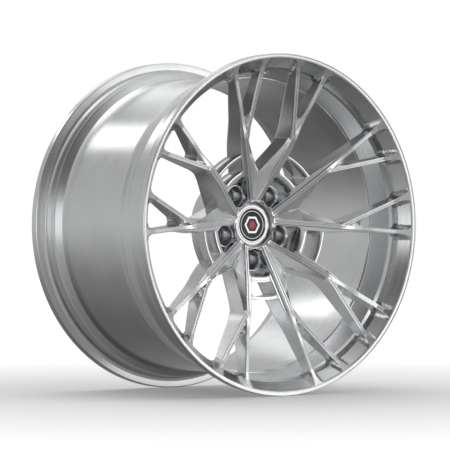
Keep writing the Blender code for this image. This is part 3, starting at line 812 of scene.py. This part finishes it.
def ringBorder(angle):
    # Outer border of the hub ring: scalloped by a circle round each bolt, wide under the stems.
    scallop, outer, pitch = hubRing["scallop"], hubRing["outer"], math.radians(wheel["pitch"])
    local = (angle - lugAngles[0]) % pitch
    local = np.minimum(local, pitch - local)
    side = hub["boltCircle"] * np.sin(local)
    chord = np.sqrt(np.clip(scallop ** 2 - side ** 2, 0, None))
    cut = hub["boltCircle"] * np.cos(local) - chord
    insideCircle = side < scallop * 0.999  # just under the edge, where the chord is still long
    return np.where(insideCircle, np.minimum(cut, outer), outer)


angle = turns(hubRing["segments"])
border = ringBorder(angle)
ringRadius = [radius + 0 * border for radius, _ in hubRing["innerSteps"]]
ringRadius += [border + past for past, _ in hubRing["outerSteps"]]
ringDepth = [depth + 0 * border for _, depth in hubRing["innerSteps"] + hubRing["outerSteps"]]
ringPoints = place(np.concatenate(ringRadius, 1), angle, np.concatenate(ringDepth, 1))
ringPart = gridPart(ringPoints, wrapRows=True, wrapCols=True)
buildPiece("hub_ring", [ringPart], milledAluminium, "wheel", ["forged_face"])

lugSeat = {
    "segments": 64,
    "profile": [
        (13.1, 116.0, 0.3), (14.2, 117.1, 0.3), (14.2, 129.7, 0.3), (7.9, 129.7, 0.3),
        (7.9, 124.0, 0.4), (11.2, 116.0, 0.3),
    ],
}
seatProfile = filleted(lugSeat["profile"])
for number, lugAngle in enumerate(lugAngles):
    centre = (hub["boltCircle"] * math.cos(lugAngle), hub["boltCircle"] * math.sin(lugAngle))
    seatPart = turnedPart(seatProfile, lugSeat["segments"], centre)
    name, node = f"lug_insert_{number + 1}", f"lug_seat_{number + 1}"
    buildPiece(name, [seatPart], seatSteel, "wheel", [node])

cap = {
    "face": 87.0, "segments": 144,
    # (radius, depth from the cap's face, fillet)
    "bezel": [
        (25.5, 0.7, 0.2), (26.6, -0.5, 0.4), (28.4, -0.6, 0.4), (28.8, 0.1, 0.2), (31.2, 0.1, 0.2),
        (31.7, -0.4, 0.2), (32.6, -0.3, 0.2), (33.0, 0.7, 0.2), (34.8, 1.1, 0.3),
        (36.0, 2.2, 0.4), (36.0, 3.0, 0.1), (25.5, 3.0, 0.1),
    ],
    # (radius, depth from the cap's face)
    "disc": [
        (0.0, 3.0), (25.2, 3.0), (25.2, 1.35), (25.0, 1.2), (23.6, 1.12), (23.3, 0.95),
        (20.9, 0.95), (20.6, 1.1), (0.0, 1.0),
    ],
}
emblem = {
    "band": [(21.6, 0.5, 0.15), (22.6, 0.5, 0.15), (22.6, 0.94, 0), (21.6, 0.94, 0)],
    "bandSteps": 4,
    # Hexagons: outer and inner corner radius, front and back depth from the face, edge rounding.
    "frame": (15.5, 11.5, 0.3, 0.98, 0.25),
    "stone": (6.5, 0.0, 0.4, 0.98, 0.2),
}


def capProfile(rows, steps=5):
    # Filleted outline of rows whose depths are counted from the cap's face.
    corners = [(radius, cap["face"] + depth, fillet) for radius, depth, fillet in rows]
    return filleted(corners, steps)


def hexPart(outer, inner, front, back, soft):
    # Hexagon's radius = apothem / cos(angle from the nearest side's middle).
    front, back = cap["face"] + front, cap["face"] + back
    turn = turns(cap["segments"])
    side = (turn - math.pi / 6) % (math.pi / 3) - math.pi / 6
    shape = math.cos(math.pi / 6) / np.cos(side)
    sizes = [
        (inner, back), (inner, front + soft), (inner + soft, front), (outer - soft, front),
        (outer, front + soft), (outer, back),
    ]
    radii = np.concatenate([np.maximum(size, 0) * shape for size, _ in sizes], 1)
    depths = np.concatenate([depth + 0 * turn for _, depth in sizes], 1)
    return gridPart(place(radii, turn + math.pi / 6, depths), wrapRows=True, wrapCols=True)


discProfile = np.array(cap["disc"]) + (0, cap["face"])
anthracite, redEnamel = materials["anthracite_lacquer"], materials["red_enamel"]
bezelPart = turnedPart(capProfile(cap["bezel"]), cap["segments"])
discPart = turnedPart(discProfile, cap["segments"])
bandRing = turnedPart(capProfile(emblem["band"], emblem["bandSteps"]), cap["segments"])
for name, part, material, slotName, node in (
    ("cap_ring", bezelPart, chrome, "chrome", "cap_bezel"),
    ("cap_medallion", discPart, anthracite, "anthracite", "cap_disc"),
    ("emblem_band", bandRing, chrome, "chrome", "emblem_ring"),
    ("emblem_frame", hexPart(*emblem["frame"]), chrome, "chrome", "emblem_hexagon"),
    ("emblem_stone", hexPart(*emblem["stone"]), redEnamel, "red_enamel", "emblem_accent"),
):
    buildPiece(name, [part], material, "cap", [node])

for name, material in (("cap_body", materials["black_plastic"]), ("cap_spring_ring", seatSteel)):
    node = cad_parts[name]
    node.data.materials.clear()
    node.data.materials.append(material)
print("cap ready")

floorLook = {
    "drop": 0.2713, "halfSize": 60.0,  # metres
    "colour": (0.9, 0.9, 0.9), "roughness": 0.9,
    "fade": (0.0, 1.5, 0.03, 0.62),  # the glow rises over these distances, between these strengths
}
side, level = floorLook["halfSize"], -floorLook["drop"]
floorMesh = bpy.data.meshes.new("floor")
floorCorners = [(x * side, y * side, level) for x, y in ((-1, -1), (1, -1), (1, 1), (-1, 1))]
floorMesh.from_pydata(floorCorners, [], [(0, 1, 2, 3)])
floor = bpy.data.objects.new("floor", floorMesh)
scene.collection.objects.link(floor)
floorMaterial, floorTree, floorShader = newMaterial(
    "pale_floor", floorLook["colour"], 0.0, floorLook["roughness"],
)
floorMesh.materials.append(floorMaterial)
# Painted light: the floor glows though it is no lamp. The glow rises from almost nothing under the
# wheel to full strength 1.5 m away, so the floor reads white far off. Round the wheel the real
# shadow shows, deepened by painted shade where the glow is weak.
floorShader.inputs["Emission Color"].default_value = (1, 1, 1, 1)
away = floorTree.nodes.new("ShaderNodeVectorMath")
away.operation = "LENGTH"
floorTree.links.new(floorTree.nodes.new("ShaderNodeTexCoord").outputs["Object"], away.inputs[0])
glow = mapRange(floorTree, away.outputs["Value"], *floorLook["fade"])
floorTree.links.new(glow, floorShader.inputs["Emission Strength"])
floor.visible_glossy = False
print("floor ready")

sky = {
    # (height from 0 straight down to 1 straight up, brightness)
    "stops": [
        (0.0, 0.05), (0.2, 0.11), (0.33, 0.23), (0.5, 0.5), (0.62, 0.46), (0.8, 0.4), (1.0, 0.8),
    ],
    "front": ("Y", 0.1, -0.5),
    "lowGlow": 0.12, "low": ("Z", 0.0, -0.3),
    "dimming": -0.75, "high": ("Z", 0.1, 0.35), "left": ("X", 0.25, -0.15),
    "seen": (1.0, 1.0, 1.0, 1),  # what the camera sees behind the wheel
}
world = bpy.data.worlds.new("studio")
scene.world = world
world.use_nodes = True
skyTree = world.node_tree
nodes, links = skyTree.nodes, skyTree.links
direction = nodes.new("ShaderNodeSeparateXYZ")
links.new(nodes.new("ShaderNodeTexCoord").outputs["Generated"], direction.inputs[0])
ramp = nodes.new("ShaderNodeValToRGB")
links.new(mapRange(skyTree, direction.outputs["Z"], -1, 1), ramp.inputs["Fac"])
elements = ramp.color_ramp.elements
while len(elements) < len(sky["stops"]):
    elements.new(0.5)
for element, (position, value) in zip(elements, sky["stops"]):
    element.position = position
    element.color = (value, value, value, 1)


def sideShare(output, start, end):
    # Share rising from 0 at start to 1 at end of one direction component.
    return mapRange(skyTree, direction.outputs[output], start, end, kind="SMOOTHSTEP")


# Brighter low in front, where the pale floor would be mirrored, and dimmer high on the front left.
front = sideShare(*sky["front"])
lowFront = mathNode(skyTree, "MULTIPLY", sideShare(*sky["low"]), front)
lowGlow = mathNode(skyTree, "MULTIPLY", lowFront, sky["lowGlow"])
highLeft = mathNode(skyTree, "MULTIPLY", sideShare(*sky["high"]), sideShare(*sky["left"]))
highFront = mathNode(skyTree, "MULTIPLY", highLeft, front)
dimmed = mathNode(skyTree, "MULTIPLY", highFront, sky["dimming"])
lit = mathNode(skyTree, "ADD", ramp.outputs["Color"], lowGlow)
lit = mathNode(skyTree, "MULTIPLY", lit, mathNode(skyTree, "ADD", dimmed, 1.0))
seen = nodes.new("ShaderNodeMix")
seen.data_type = "RGBA"
links.new(nodes.new("ShaderNodeLightPath").outputs["Is Camera Ray"], seen.inputs["Factor"])
links.new(lit, seen.inputs["A"])
seen.inputs["B"].default_value = sky["seen"]
links.new(seen.outputs["Result"], nodes["Background"].inputs["Color"])

# Soft boxes: direction from the wheel, distance, width and height in metres, watts.
softboxes = {
    "back_left_box": ((-0.19, 0.8, 0.555), 4.0, 1.05, 0.5, 2.8),
    "back_right_box": ((0.25, 0.81, 0.5), 4.0, 1.4, 0.5, 2),
    "left_box": ((-0.9, -0.42, 0.05), 4.5, 2.4, 1.6, 7),
    "top_box": ((-0.1, 0.3, 1.0), 3.5, 2.2, 2.2, 12),
    "front_box": ((0.58, -0.8, 0.02), 4.5, 3.4, 2.0, 25),
    "high_right_box": ((0.59, -0.61, 0.5), 4.5, 2.2, 1.4, 12),
}
for name, (towards, distance, width, height, power) in softboxes.items():
    data = bpy.data.lights.new(name, "AREA")
    data.shape = "RECTANGLE"
    data.size = width
    data.size_y = height
    data.energy = power
    light = bpy.data.objects.new(name, data)
    scene.collection.objects.link(light)
    towards = Vector(towards).normalized()
    light.location = towards * distance
    light.rotation_mode = "QUATERNION"
    light.rotation_quaternion = towards.to_track_quat("Z", "Y")
print("lights ready")

view = {
    "azimuth": -36.36, "elevation": -0.24, "distance": 4.363, "aim": (0.0, -0.0254, 0.0),
    "lens": 215.0, "sensor": 36, "shiftX": -0.0209, "clipEnd": 60,
}
camera = bpy.data.objects.new("camera", bpy.data.cameras.new("camera"))
scene.collection.objects.link(camera)
azimuth, elevation = math.radians(view["azimuth"]), math.radians(view["elevation"])
outward = np.array([
    math.sin(azimuth) * math.cos(elevation), -math.cos(azimuth) * math.cos(elevation),
    math.sin(elevation),
])
camera.location = np.array(view["aim"]) + outward * view["distance"]
camera.rotation_mode = "QUATERNION"
camera.rotation_quaternion = Vector(outward).to_track_quat("Z", "Y")
camera.data.lens = view["lens"]
camera.data.sensor_width = view["sensor"]
camera.data.shift_x = view["shiftX"]
camera.data.clip_end = view["clipEnd"]
scene.camera = camera
